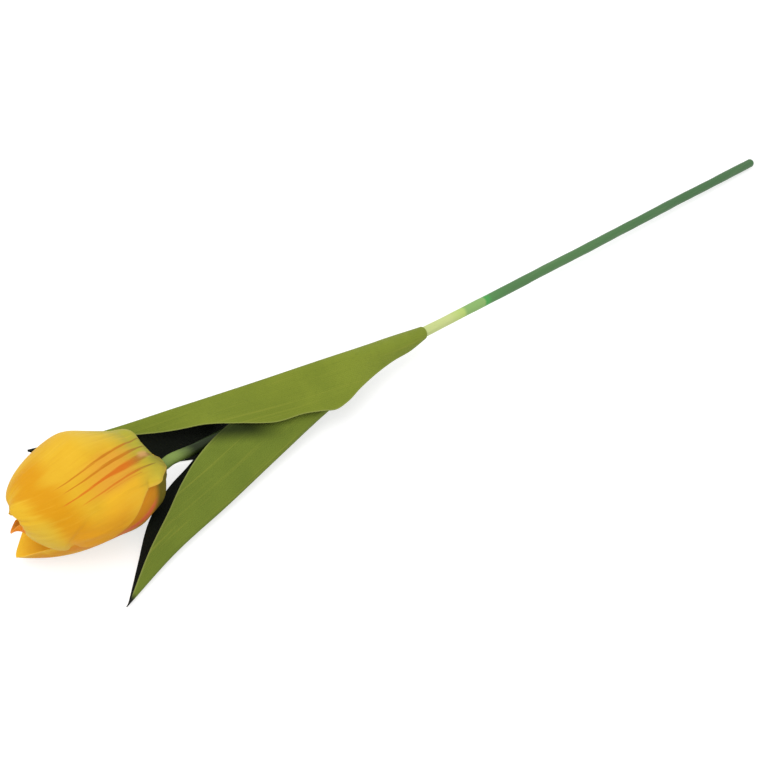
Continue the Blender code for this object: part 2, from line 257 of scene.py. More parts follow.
class Wire:
    """A node's output in a finish. Arithmetic on it adds Math nodes."""

    def __init__(self, finish, socket):
        self.finish = finish
        self.socket = socket

    def math(self, operation, *values):
        return self.finish.node("ShaderNodeMath", {"operation": operation}, dict(enumerate(values)))

    def __add__(self, other):
        return self.math("ADD", self, other)

    def __sub__(self, other):
        return self.math("SUBTRACT", self, other)

    def __rsub__(self, other):
        return self.math("SUBTRACT", other, self)

    def __mul__(self, other):
        return self.math("MULTIPLY", self, other)

    def __truediv__(self, other):
        return self.math("DIVIDE", self, other)

    def __rtruediv__(self, other):
        return self.math("DIVIDE", other, self)

    def __abs__(self):
        return self.math("ABSOLUTE", self)

    __radd__ = __add__
    __rmul__ = __mul__

    def sine(self):
        return self.math("SINE", self)

    def greater(self, other):
        """The greater of the two."""
        return self.math("MAXIMUM", self, other)

    def rise(self, low, high):
        """0 at low, 1 at high, smooth between. It falls where low is above high."""
        settings = {"interpolation_type": "SMOOTHSTEP"}
        sockets = {"Value": self, "From Min": low, "From Max": high}
        return self.finish.node("ShaderNodeMapRange", settings, sockets)


class Finish:
    """A material with a Principled shader."""

    def __init__(self, name, **constants):
        self.material = bpy.data.materials.new(name)
        self.material.use_nodes = True
        self.tree = self.material.node_tree
        self.shader = self.tree.nodes["Principled BSDF"]
        for label, value in constants.items():
            label = label.replace("_", " ").title().replace("Ior", "IOR")
            self.shader.inputs[label].default_value = value

    def feed(self, target, value):
        """Links a wire to a socket, or sets the socket's own value."""
        if isinstance(value, Wire):
            self.tree.links.new(value.socket, target)
        else:
            target.default_value = value

    def node(self, kind, settings=None, sockets=None, output=0):
        """A new node's output. The node takes its settings first, and then its sockets' values or links."""
        made = self.tree.nodes.new(kind)
        for label, value in (settings or {}).items():
            setattr(made, label, value)
        for label, value in (sockets or {}).items():
            self.feed(made.inputs[label], value)
        return Wire(self, made.outputs[output])

    def set(self, label, value):
        """Feeds one of the shader's sockets."""
        self.feed(self.shader.inputs[label], value)

    def mark(self, label):
        """A piece's number for each point."""
        return self.node("ShaderNodeAttribute", {"attribute_name": label}, output="Fac")

    def place(self):
        """A point's place in metres."""
        return self.node("ShaderNodeTexCoord", output="Object")

    def parts(self, vector):
        """A vector's X, Y and Z."""
        first = self.node("ShaderNodeSeparateXYZ", {}, {0: vector})
        return first, *(Wire(self, first.socket.node.outputs[axis]) for axis in (1, 2))

    def vector(self, x=0.0, y=0.0, z=0.0):
        """A vector from its X, Y and Z."""
        return self.node("ShaderNodeCombineXYZ", {}, {0: x, 1: y, 2: z})

    def noise(self, vector, scale, detail=2.0, roughness=0.5, distortion=0.0):
        """A cloudy noise, about 0.5 in the middle."""
        sockets = {
            "Vector": vector,
            "Scale": scale,
            "Detail": detail,
            "Roughness": roughness,
            "Distortion": distortion,
        }
        return self.node("ShaderNodeTexNoise", {}, sockets)

    def mix(self, factor, first, second):
        """The first colour where the factor is 0, the second where it is 1."""
        return self.node("ShaderNodeMix", {"data_type": "RGBA"}, {0: factor, 6: first, 7: second}, output=2)

    def tint(self, factor, colour, tone):
        """The colour multiplied by the tone, as far as the factor says."""
        settings = {"data_type": "RGBA", "blend_type": "MULTIPLY"}
        return self.node("ShaderNodeMix", settings, {0: factor, 6: colour, 7: tone}, output=2)

    def bump(self, height, distance, normal=None):
        """The normal of a surface raised by the height times the distance."""
        sockets = {"Height": height, "Distance": distance}
        if normal:
            sockets["Normal"] = normal
        return self.node("ShaderNodeBump", {}, sockets)


def colour(red, green, blue):
    """A screen colour, 0 to 255, as the shader's linear red, green, blue and alpha."""
    screen = np.array((red, green, blue)) / 255
    linear = np.where(screen <= 0.04045, screen / 12.92, ((screen + 0.055) / 1.055) ** 2.4)
    return (*linear, 1.0)


# A petal's printed streaks: where each starts and ends, in millimetres across from the middle line and as a
# share of the petal's length, how far it bows sideways, half its width in millimetres, and its strength.
STREAKS = (
    ((-9.2, 0.22), (-4.7, 0.80), 1.0, 0.36, 0.95),
    ((-7.6, 0.33), (-5.6, 0.56), 0.4, 0.22, 0.50),
    ((-4.5, 0.24), (-1.6, 0.77), 0.3, 0.42, 1.00),
    ((-3.4, 0.34), (-2.2, 0.60), 0.2, 0.30, 0.60),
    ((-0.8, 0.20), (1.6, 0.64), 0.5, 1.25, 1.00),
    ((0.4, 0.42), (2.3, 0.78), 0.2, 0.40, 0.85),
    ((3.6, 0.22), (5.6, 0.72), 0.3, 0.40, 0.75),
    ((5.9, 0.36), (6.4, 0.60), 0.0, 0.25, 0.40),
)


def streak(reach, share, start, end, bow, width, wander):
    """A long thin spindle from its start to its end: full in its lower part, pointed at both ends.

    Its line is straight, and bows sideways by 4t less 4t squared times the bow, where t is the share of its
    length. The swell is a smooth step up from its start times a smooth step down to its end. The ink is full
    up to 0.3 of the swollen half width from the line, and gone at 1.5 of it.
    """
    (reach_0, share_0), (reach_1, share_1) = start, end
    along = (share - share_0) / (share_1 - share_0)
    line = along * (reach_1 - reach_0) + reach_0 + along * (1 - along) * (4 * bow)
    swell = along.rise(-0.05, 0.45) * along.rise(1.05, 0.50)
    away = abs(reach - line + wander) / (swell * width + 0.12)
    return away.rise(1.5, 0.3) * swell.rise(0.0, 0.25)


def petal_finish(name, printed):
    """Dyed cloth: greenish at the foot and yellow above, with an orange band, partly painted shade, and
    printed streaks outside. Where it isn't printed it is orange above the foot. Painted light lightens both
    sides half way up, and a painted shade darkens the printed side that lies beside and under the near
    petal's margin.

    The map's X is the distance from the petal's middle line over 100 mm, plus a half, and its Y the share
    of the petal's length times 0.8. The reach is that distance in millimetres. Each patch of colour is a
    product of smooth steps in the reach and the share, and noise makes its border wander.
    """
    finish = Finish(name, sheen_weight=0.03, sheen_roughness=0.5, specular_ior_level=0.18)
    across, up, _ = finish.parts(finish.node("ShaderNodeUVMap", {"uv_map": "cloth"}))
    reach, share = (across - 0.5) * 100, up / 0.8
    place = finish.place()
    inside, margin = finish.mark("inside"), finish.mark("margin")
    cloud = finish.noise(place, 60, 3)
    soft = finish.noise(place, 25, 2)
    grain = finish.noise(finish.vector(reach * 0.7, share * 3.5), 1.0, 4, 0.65)
    stray = (soft - 0.5) * 0.12 + (grain - 0.5) * 0.06

    # The yellow body, lighter on both sides half way up with painted light, and the orange band below the
    # tip, an orange tone that is partly painted shade where the tip curves down.
    shade = finish.mix(cloud.rise(0.35, 0.65), colour(236, 186, 38), colour(231, 179, 35))
    light = abs(share - 0.48 + stray).rise(0.16, 0.06)
    shade = finish.mix(light * reach.rise(-6, -16) * 0.8, shade, colour(240, 200, 58))
    shade = finish.mix(light * reach.rise(3, 9) * 0.9, shade, colour(252, 193, 40))
    band = share + stray + reach.rise(-2, 6) * reach * 0.006
    band = band - reach.rise(-2, -6) * 0.025 - abs(reach + 9.8).rise(4, 1) * 0.045
    band = band.rise(0.70, 0.80) * band.rise(0.93, 0.84) * reach.rise(-28, -19)
    shade = finish.mix(band * 0.92, shade, colour(224, 154, 0))

    # The deeper right side, the paler right of the end, and the warm glow round the middle streaks.
    side = (reach + (soft - 0.5) * 10).rise(8, 22) * share.rise(0.40, 0.52) * share.rise(0.86, 0.76)
    shade = finish.mix(side * 0.9, shade, colour(236, 163, 18))
    lobe = (reach + (soft - 0.5) * 6).rise(3, 11) * (share + stray * 0.5).rise(0.80, 0.90)
    shade = finish.mix(lobe * 0.85, shade, colour(226, 188, 56))
    glow = abs(reach - 0.5 + (cloud - 0.5) * 6).rise(9, 4)
    glow = glow * (share + stray).rise(0.34, 0.44) * share.rise(0.70, 0.55)
    shade = finish.mix(glow * 0.7, shade, colour(236, 162, 54))

    # The greenish foot, brownish at its base, and the cloth's lighter and darker fibres.
    foot = (share + reach * 0.0045 + stray).rise(0.47, 0.27)
    green = finish.mix(reach.rise(1, 7), colour(182, 176, 52), colour(214, 194, 56))
    shade = finish.mix(foot, shade, green)
    base = (share + stray + reach.rise(2, 6) * 0.1).rise(0.32, 0.14) * grain.rise(0.35, 0.60)
    shade = finish.mix(base * 0.8, shade, colour(150, 128, 46))
    shade = finish.mix(grain.rise(0.52, 0.70) * 0.22, shade, colour(248, 204, 66))
    shade = finish.mix(grain.rise(0.48, 0.30) * 0.22, shade, colour(212, 146, 26))
    edge = margin.rise(0.0016, 0.0) * 0.35

    # The print: the streaks and a pale spot near their foot. Then a painted shade where the petal lies beside
    # and under the near petal's margin: orange-brown, with the printed red strip in it and a dark olive foot,
    # and no pale cut edge.
    if printed:
        wander = (finish.noise(finish.vector(reach * 0.2, share * 5), 1.0, 2) - 0.5) * 1.2
        ink = 0.0
        for start, end, bow, width, strength in STREAKS:
            ink = streak(reach, share, start, end, bow, width, wander) * strength + ink
        fray = finish.noise(finish.vector(reach * 4.0, share * 4.5), 1.0, 3, 0.7)
        ink = ink * (fray * 3.2 - 0.7)
        tone = finish.mix(reach.rise(-2.2, -0.6), colour(207, 125, 12), colour(222, 113, 14))
        tone = finish.mix(share.rise(0.46, 0.31), tone, colour(158, 118, 42))
        shade = finish.mix(ink.rise(0.0, 0.85) * 0.92, shade, tone)
        spot = abs(reach + (cloud - 0.5) * 3).rise(2.0, 0.3) * abs(share - 0.32 + stray).rise(0.05, 0.01)
        shade = finish.mix(spot * 0.8, shade, colour(224, 170, 106))
        # Painted shade along the side that lies beside the near petal, with the printed red strip in it.
        flush = finish.mark("flush") * share.rise(0.99, 0.80)
        shade = finish.mix(flush * 0.9, shade, colour(224, 140, 4))
        red = flush * abs(reach - 0.4 + (grain - 0.5) * 2).rise(4.2, 1.0)
        red = red * share.rise(0.26, 0.36) * share.rise(0.60, 0.48)
        shade = finish.mix(red * 0.85, shade, colour(240, 108, 72))
        shade = finish.mix(flush * share.rise(0.345, 0.27), shade, colour(112, 99, 6))
        edge = edge * (1 - flush * 0.85)
    else:
        shade = finish.mix(share.rise(0.2, 0.6) * 0.95, shade, colour(252, 142, 0))

    # The cut edge, the inside, and the creases and threads.
    shade = finish.mix(edge, shade, colour(230, 176, 84))
    lining = colour(254, 212, 52) if printed else colour(250, 150, 16)
    shade = finish.mix(inside * 0.85, shade, lining)
    weave = (reach * 16).sine() * (share * 1300).sine()
    creases = finish.noise(finish.vector(reach * 0.12, share * 2.0), 1.0, 3, 0.5, 0.4)
    relief = finish.bump(creases, 0.0010)
    relief = finish.bump(grain, 0.00012, normal=relief)
    relief = finish.bump(weave + cloud * 2, 0.000012, normal=relief)
    finish.set("Base Color", shade)
    finish.set("Roughness", cloud * 0.2 + 0.52)
    finish.set("Normal", relief)
    return finish.material


def leaf_finish(name, near, far, shaded):
    """Cloth with fine lengthwise ribs, dyed green outside, and nearly black inside the fold.

    It has the near colour at the foot and the far colour beyond. Where it is shaded, the half that faces up
    is darker in a soft painted shadow where the other leaf lies over it.

    The map's X is the distance from the keel over 60 mm, plus a half, and its Y the distance from the foot
    over 200 mm.
    """
    finish = Finish(name, sheen_weight=0.02, sheen_roughness=0.5, specular_ior_level=0.15)
    across, along, _ = finish.parts(finish.node("ShaderNodeUVMap", {"uv_map": "cloth"}))
    place = finish.place()
    inside, margin = finish.mark("inside"), finish.mark("margin")
    cloud = finish.noise(place, 40, 4, 0.6)
    mottle = finish.noise(place, 420, 2)
    fibres = finish.noise(finish.vector(across * 150, along * 9), 1.0, 3, 0.6)
    lines = finish.noise(finish.vector(across * 46, along * 3), 1.0, 2)
    shade = finish.mix(along.rise(0.10, 0.42), colour(*near), colour(*far))
    shade = finish.tint(cloud.rise(0.65, 0.35) * 0.6, shade, (0.78, 0.82, 0.76, 1))
    shade = finish.mix(lines.rise(0.56, 0.72) * 0.30, shade, colour(154, 158, 58))
    shade = finish.mix(fibres.rise(0.60, 0.78) * 0.35, shade, colour(156, 150, 62))
    shade = finish.mix(fibres.rise(0.42, 0.25) * 0.35, shade, colour(86, 106, 30))
    shade = finish.mix(mottle.rise(0.62, 0.75) * 0.12, shade, colour(82, 98, 32))
    shade = finish.mix(margin.rise(0.0007, 0.0002) * 0.5, shade, colour(156, 162, 88))
    if shaded:
        # A painted shadow of the upper leaf on the half that faces up.
        x, y, _ = finish.parts(place)
        x, y = x - float(JOINT[0]), y - float(JOINT[1])
        under = (y - x * COVER_SLOPE - COVER_START).rise(-0.0080, -0.0015)
        under = under * x.rise(0.052, 0.036) * across.rise(0.46, 0.56)
        shade = finish.tint(under * 0.98, shade, (0.12, 0.14, 0.10, 1))
    dark = finish.mix(cloud.rise(0.3, 0.7), colour(11, 16, 9), colour(22, 27, 17))
    tip = finish.mark("tip").rise(0.965, 0.985)
    shade = finish.mix(inside.rise(0.35, 0.65).greater(tip), shade, dark)
    ribs = (across * 500).sine()
    weave = (across * 1900).sine() * (along * 6000).sine()
    relief = finish.bump(cloud, 0.0008)
    relief = finish.bump(ribs + fibres * 2, 0.00003, normal=relief)
    relief = finish.bump(weave + mottle, 0.00001, normal=relief)
    finish.set("Base Color", shade)
    finish.set("Roughness", cloud * 0.2 + 0.55)
    finish.set("Normal", relief)
    return finish.material


def stem_finish():
    """Moulded plastic whose colour changes along the stem. From the flower it is mid green, then dark between
    the leaves with painted shade of the leaves' shadow, then pale, yellow-green and light green, then a
    narrow bright ring, and sea green to the cut end."""
    finish = Finish("stem_plastic", specular_ior_level=0.30)
    place = finish.place()
    x, y, z = finish.parts(place)
    cloud = finish.noise(place, 70, 3)
    grain = finish.noise(finish.vector(x * 40, y * 900, z * 900), 1.0, 2)
    along = x - float(JOINT[0]) + (cloud - 0.5) * 0.006
    # Painted shade: dark olive where the leaves shade the neck.
    shade = finish.mix(along.rise(0.002, 0.013), colour(132, 156, 76), colour(30, 42, 10))
    shade = finish.mix(along.rise(0.030, 0.070), shade, colour(206, 218, 142))
    shade = finish.mix(along.rise(0.150, 0.160), shade, colour(190, 214, 118))
    shade = finish.mix(along.rise(0.1595, 0.1625), shade, colour(144, 186, 108))
    shade = finish.mix(along.rise(0.1725, 0.1740), shade, colour(78, 166, 80))
    shade = finish.mix(along.rise(0.1745, 0.1780), shade, colour(88, 142, 80))
    shade = finish.mix(along.rise(0.1755, 0.1950), shade, colour(84, 128, 76))
    shade = finish.mix(along.rise(0.21, 0.33), shade, colour(74, 116, 72))
    shade = finish.mix(grain.rise(0.5, 0.8) * 0.20, shade, colour(120, 150, 104))
    end = along.rise(STEM_LENGTH - 0.002, STEM_LENGTH - 0.0005)
    shade = finish.mix(end * 0.5, shade, colour(80, 110, 84))
    relief = finish.bump(cloud, 0.0004)
    relief = finish.bump(grain, 0.00005, normal=relief)
    finish.set("Base Color", shade)
    finish.set("Roughness", cloud * 0.25 + 0.38)
    finish.set("Normal", relief)
    return finish.material


def plain_finish(name, base, second, roughness):
    """A dull surface, mottled between two colours."""
    finish = Finish(name, ior=1.45)
    cloud = finish.noise(finish.place(), 900, 3)
    finish.set("Base Color", finish.mix(cloud.rise(0.35, 0.65), base, second))
    finish.set("Roughness", cloud * 0.2 + roughness)
    finish.set("Normal", finish.bump(cloud, 0.0001))
    return finish.material


# ---------------------------------------------------------------------------------------------
# The stem


def make_stem(finish):
    """A tube along the stem's line, with a rounded cut end and a knob inside the flower.

    The line rises at the neck, sags in the middle and wanders a little sideways. The product of two slow
    waves, plus a quicker wave, makes the radius uneven. The cut end's rings follow a quarter circle.
    """
    last = STEM_LENGTH - STEM_RADIUS
    knob = np.array(KNOB)[::-1]
    x = np.linspace(0.002, last, STEM_SECTIONS)
    cap = np.radians(np.linspace(8, 86, 9))
    rod = slice(len(knob), len(knob) + len(x))
    centres = np.concatenate((
        stem_centre(-HEAD_SETBACK) + knob[:, :1] * HEAD_AXIS,
        stem_centre(x),
        stem_centre(last + STEM_RADIUS * np.sin(cap)),
    ))
    wander = 0.00012 * ease(x / 0.05) * ease((last - x) / 0.02)
    centres[rod, 1] += wander * np.sin(x * 95) * np.sin(x * 31 + 1)
    neck = STEM_NECK_RISE * ease((STEM_NECK_END - x) / STEM_NECK_LENGTH)
    centres[rod, 2] += neck - STEM_SAG * hump(x, STEM_SAG_MIDDLE, STEM_SAG_REACH)
    uneven = 1 + 0.018 * np.sin(x * 170) * np.sin(x * 61 + 2) + 0.012 * np.sin(x * 410 + 1)
    radii = np.concatenate((knob[:, 1], STEM_RADIUS * 0.99 * uneven, STEM_RADIUS * np.cos(cap)))
    points, faces = tube(centres, radii, STEM_SIDES)
    return piece("stem_rod", "stem", points, faces, finish)


# ---------------------------------------------------------------------------------------------
# The petals

# Where the head stands out from the even egg shape, or in from it: an angle, a height, how far each way the
# hump reaches in degrees and in height, and how far it stands out in millimetres. A height here is the polar
# angle's share of its whole run from foot to tip.
HEAD_HUMPS = (
    (0, 0.185, 70, 0.16, -3.20),
    (0, 0.325, 60, 0.06, 1.50),
    (14, 0.325, 24, 0.09, -1.30),
    (-45, 0.43, 60, 0.15, -2.10),
    (0, 0.58, 60, 0.10, 1.40),
    (135, 0.49, 60, 0.22, -1.60),
    (108, 0.225, 55, 0.09, 1.20),
    (132, 0.35, 40, 0.11, 0.90),
    (-80, 0.82, 60, 0.14, 0.40),
    (170, 0.90, 70, 0.13, -1.10),
)

# The petals' outlines: along a petal, how far it spreads to each side of its middle line, in millimetres
# on a ball of the head's radius. "left" is the side towards a smaller angle round the head.
PETAL_FOOT = 0.061
PETAL_STOPS = (0, 0.08, 0.16, 0.23, 0.30, 0.37, 0.45, 0.55, 0.65, 0.75, 0.85, 0.93, 1.0)
OUTER_SPREAD = (2.2, 5.0, 10.0, 15.0, 19.5, 23.0, 25.5, 27.0, 26.0, 23.5, 19.0, 14.0, 8.0)
INNER_SPREAD = (1.5, 4.0, 8.0, 12.5, 17.0, 20.5, 23.0, 24.0, 23.0, 20.5, 16.5, 13.0, 9.0)
FAR_SPREAD = (2.6, 7.5, 13.0, 17.5, 21.0, 23.5, 25.5, 27.0, 26.0, 23.5, 19.0, 14.0, 8.0)
TOP_SPREAD = (2.8, 8.8, 15.5, 19.5, 21.5, 23.0, 23.8, 24.0, 23.0, 20.5, 16.5, 13.0, 9.0)

# Each petal:
# middle, turn, delay: its middle line's angle at the foot, and how far and how late it turns round the head
# tip, layer: the height of its end, and its layer counted inwards
# left, right: its outline
# corners, cap: how far its corners reach past the end of its middle line, or fall short of it below 0, and
#   how far its left half caps the head's tip
# fall: how far its tip falls away from the head, from where, how suddenly, and how much onward
# print_at: which way its print faces, and how many millimetres off its middle
# folded: whether it has folds of its own
# seed: a number that sets its ripples apart from the others'
PETALS = {
    "petal_outer_near": dict(
        middle=26,
        turn=49,
        delay=2.2,
        tip=0.915,
        layer=0,
        left=(2.4, 3.2, 4.2, 9.0, 14.5, 21.0, 29.0, 36.0, 38.0, 37.0, 31.0, 20.0, 5.0),
        right=(2.2, 4.6, 7.4, 10.3, 12.1, 13.8, 23.8, 29.8, 27.7, 24.9, 22.9, 20.4, 14.7),
        corners=0.10,
        cap=0.062,
        folded=True,
        seed=0,
    ),
    "petal_outer_under": dict(
        middle=131.8,
        turn=56.5,
        tip=0.81,
        layer=1,
        left=(2.2, 9.0, 18.0, 25.0, 29.5, 31.0, 30.5, 28.0, 25.0, 22.5, 21.1, 19.6, 17.3),
        right=(2.2, 5.5, 11.5, 15.5, 17.9, 19.5, 20.8, 21.6, 21.4, 19.6, 16.9, 12.8, 7.3),
        fall=(0.0166, 0.451, 2.19, 0),
        print_at=(-1, -17),
        seed=1,
    ),
    "petal_outer_far": dict(
        middle=-92,
        turn=20,
        tip=0.96,
        layer=2,
        left=OUTER_SPREAD,
        right=FAR_SPREAD,
        seed=2,
    ),
    "petal_inner_near": dict(
        middle=88,
        turn=20,
        tip=0.91,
        layer=3,
        left=INNER_SPREAD,
        right=(1.5, 4.0, 8.0, 12.5, 17.0, 20.0, 20.0, 16.0, 11.0, 7.5, 5.5, 4.0, 3.0),
        seed=3,
    ),
    "petal_inner_under": dict(
        middle=-182,
        turn=12,
        tip=0.95,
        layer=4,
        left=INNER_SPREAD,
        right=(1.5, 4.0, 8.0, 12.5, 17.0, 20.0, 20.5, 17.0, 14.5, 12.5, 11.0, 9.5, 8.0),
        fall=(0.0117, 0.50, 2.0, 0.20),
        seed=4,
    ),
    "petal_inner_top": dict(
        middle=-32,
        turn=20,
        tip=0.95,
        layer=5,
        left=TOP_SPREAD,
        right=TOP_SPREAD,
        seed=5,
    ),
}


def head_profile(polar):
    """The egg shape's radius and height, for an angle that runs from 0 at its foot to pi at its tip.

    The radius is a power of the angle's sine, rounder at the foot than at the tip, and a little greater
    towards the tip.
    """
    polar = np.clip(polar, 1e-6, math.pi - 1e-6)
    tipwards = (1 - np.cos(polar)) / 2
    radius = HEAD_RADIUS * np.sin(polar) ** (1.08 + 0.36 * tipwards) * (0.95 + 0.10 * tipwards)
    return radius, HEAD_LENGTH * tipwards


def on_head(polar, around, lift):
    """Places on the head: the egg shape, moved along its outward normal by the humps and the lift."""
    height = polar / math.pi
    stand = 0 * polar
    for angle, level, round_reach, level_reach, amount in HEAD_HUMPS:
        away = np.abs((around - angle + 180) % 360 - 180)
        stand = stand + amount / 1000 * ease(1 - away / round_reach) * hump(height, level, level_reach)
    stand = stand * ease((1 - height) / 0.06) + lift
    radius, rise = head_profile(polar)
    before, after = head_profile(polar - 0.01), head_profile(polar + 0.01)
    out, up = np.moveaxis(unit(np.stack((after[1] - before[1], before[0] - after[0]), -1)), -1, 0)
    return in_head(around, radius + stand * out, rise + stand * up)


def across_head(height, around, tilt, reach):
    """The polar angle and the angle round the head of a point that lies off a petal's middle line.

    On a unit ball, the point of the middle line turns about an axis by the reach over its circle's radius.
    With no tilt the axis is the ball's own, and the circle is level. With full tilt the axis is the middle
    line's own direction, so that the petal's end lies flat across the top of the ball.
    """
    polar, around = math.pi * height, np.radians(around)
    out, level = np.sin(polar), np.cos(polar)
    centre = np.stack((out * np.cos(around), out * np.sin(around), -level), -1)
    onward = np.stack((level * np.cos(around), level * np.sin(around), out), -1)
    axis = unit((1 - tilt[..., None]) * np.array((0.0, 0.0, 1.0)) + tilt[..., None] * onward)
    along_axis = (axis * centre).sum(-1, keepdims=True)
    turn = reach[..., None] / (HEAD_RADIUS * np.sqrt(1 - along_axis**2))
    spot = centre * np.cos(turn) + np.cross(axis, centre) * np.sin(turn)
    spot = spot + axis * along_axis * (1 - np.cos(turn))
    return np.arccos(np.clip(-spot[..., 2], -1, 1)), np.degrees(np.arctan2(spot[..., 1], spot[..., 0]))


def petal_relief(share, across, reach, seed):
    """How far the cloth stands out from the head: a shallow groove along the middle, fine ribs that run
    along it, slow dents, and ripples that grow towards the margins."""
    groove = -0.00018 * np.exp(-((reach / 0.0018) ** 2))
    groove = groove * ease((share - 0.1) / 0.2) * ease((1 - share) / 0.3)
    ribs = 0.00003 * np.cos(reach * 3000 + seed) * ease((0.9 - share) / 0.5)
    slow = 0.00022 * np.sin(reach * 160 + share * 7 + seed)
    ripple = 0.0003 * across**4 * np.sin(share * 19 + seed * 2.1 + 2 * np.sign(across))
    return (groove + ribs + slow + ripple) * ease(share / 0.25)


def near_relief(share, across, reach):
    """The near petal's own folds: a lip that curls out at its shoulder, a short crease at the upper end of
    the lip, a dent across its upper part, a soft step that runs up beside its lower margin, wrinkles that
    cross its lower side aslant, and a few short pleats at its end. The lip, the crease and the dent are
    smooth humps along the petal, and the wrinkles and pleats are sine waves."""
    lip = 0.0015 * ease((across - 0.60) / 0.40) ** 1.5 * hump(share, 0.29, 0.08)
    crease = -0.0006 * hump(share, 0.352, 0.014) * ease((reach - 0.0080) / 0.003)
    dent = -0.0004 * hump(share - 8 * np.abs(reach) * (reach < 0), 0.80, 0.10)
    step = -0.0006 * ease((reach - 0.0104 - 0.054 * (share - 0.68)) / 0.002) * hump(share, 0.77, 0.18)
    aslant = reach * 900 + share * 22
    wrinkles = 0.00012 * (np.sin(aslant) + np.sin(aslant * 1.7 + 2) * 0.6)
    wrinkles = wrinkles * hump(reach, 0.019, 0.012) * hump(share, 0.60, 0.20)
    pleats = 0.00012 * np.sin(reach * 1900 + 4 * share)
    pleats = pleats * ease((share - 0.90) / 0.06) * hump(reach, 0.005, 0.009)
    return lip + crease + dent + step + wrinkles + pleats


def make_petal(
    node,
    finish,
    middle,
    turn,
    tip,
    layer,
    left,
    right,
    seed,
    delay=1,
    corners=-0.10,
    cap=0,
    fall=None,
    print_at=(1, 0),
    folded=False,
):
    """A petal on the head's shape: level arcs across its middle line, which turn into arcs straight across
    the tip, each from its left margin to its right margin.

    Where the left half caps the head's tip, its arcs stay level. Each layer lies one step inside the layer
    before, from a little above the foot. A tip that falls moves out from the head's axis, further and
    further towards its end but less at its left margin, and a little onward along it. Where the print faces
    the other way, a painted shade covers the left side in to 12.5 mm from the middle line, and to 3.5 mm at
    the foot, where the petal lies beside and under the near petal's margin.
    """
    rows = np.linspace(0, 1, PETAL_ROWS) ** 0.85
    share, across = np.meshgrid(rows, np.linspace(1, -1, PETAL_COLUMNS), indexing="ij")
    share = share * (1 + share**3 * corners * np.abs(across) ** (4 if corners > 0 else 2))
    spread = np.where(across > 0, smooth(share, PETAL_STOPS, right), smooth(share, PETAL_STOPS, left)) / 1000
    reach = spread * across
    height = PETAL_FOOT + (tip - PETAL_FOOT) * share + cap * share**6 * ease((0.20 - across) / 0.22)
    line = middle + turn * share**delay
    level = ease((across + 0.30) / 0.40) if cap else 1.0
    polar, around = across_head(height, line, ease((height - 0.5) / 0.4) * level, reach)
    lift = petal_relief(share, across, reach, seed)
    if folded:
        lift = lift + near_relief(share, across, reach)
    lift = lift - PETAL_LAYER * layer * ease(share / 0.12)
    centre = on_head(polar, around, lift)
    if fall:
        amount, start, power, onward = fall
        away = amount * np.clip((share - start) / (1 - start), 0, 1) ** power * ease((across + 1.04) / 1.2)
        turned = np.radians(line)[..., None]
        outwards = HEAD_TOP * np.cos(turned) - HEAD_FAR * np.sin(turned)
        centre = centre + away[..., None] * (outwards + HEAD_AXIS * onward)
    facing, off = print_at
    uv = np.stack((facing * reach / 0.1 + off / 100 + 0.5, share * 0.8), -1)
    margin = np.minimum(spread * (1 - np.abs(across)), (1 - rows)[:, None] * PETAL_LENGTH)
    # The painted shade: only on a petal whose print faces the other way.
    flush = ease((-reach - 0.0125 + 0.009 * ease((0.42 - share) / 0.12)) / 0.005) * (facing < 0)
    return cloth(node, centre, PETAL_THICKNESS, uv, margin, finish, "petal_yellow", flush=flush)


# ---------------------------------------------------------------------------------------------
# The heart of the flower


def make_pistil(finish):
    """A green body with three rounded corners that widens into a three-lobed crown. It is a straight tube
    whose radius follows a smooth curve."""
    share = np.linspace(0, 1, HEART_SECTIONS)
    width = smooth(share, (0, 0.1, 0.55, 0.8, 0.9, 0.97, 1.0), (1.0, 1.1, 0.95, 0.72, 1.3, 1.35, 0.6))
    centres = stem_centre(-HEAD_SETBACK) + (HEART_BASE + PISTIL_LENGTH * share)[:, None] * HEAD_AXIS
    points, faces = tube(centres, PISTIL_RADIUS * width, PISTIL_SIDES, lobed(3, 0.12))
    return piece("pistil_body", "pistil", points, faces, finish)


def make_stamen(number, finish):
    """A thin stalk that leans out and swells into a long anther with four grooves. It is a straight tube
    whose radius follows a smooth curve."""
    share = np.linspace(0, 1, HEART_SECTIONS)
    ring = STAMEN_RING + STAMEN_SPREAD * share
    around = np.full(HEART_SECTIONS, 360 / STAMENS * number)
    width = smooth(share, (0, 0.5, 0.58, 0.66, 0.85, 0.96, 1.0), (1, 0.9, 1.0, 2.3, 2.5, 1.7, 0.5))
    centres = in_head(around, ring, HEART_BASE + STAMEN_LENGTH * share)
    points, faces = tube(centres, FILAMENT_RADIUS * width, STAMEN_SIDES, lobed(4, 0.10))
    node = f"stamen_{number + 1}"
    return piece(node + "_stalk", node, points, faces, finish)


# ---------------------------------------------------------------------------------------------
# The leaves

# Each leaf's keel, from its collar on the stem to its tip.
UPPER_KEEL = (
    (0.136, 0.001, 0.0124),
    (0.112, -0.0005, 0.0175),
    (0.088, 0.0015, 0.0216),
    (0.050, 0.0092, 0.0227),
    (0.018, 0.0192, 0.0207),
    (-0.012, 0.0280, 0.0195),
    (-0.039, 0.0370, 0.0202),
)
LOWER_KEEL = (
    (0.127, -0.0022, 0.0086),
    (0.117, -0.0026, 0.0083),
    (0.100, -0.0055, 0.0073),
    (0.072, -0.0105, 0.0070),
    (0.042, -0.0166, 0.0046),
    (0.012, -0.0235, 0.0029),
    (-0.018, -0.0306, 0.0024),
    (-0.045, -0.0394, 0.0008),
)

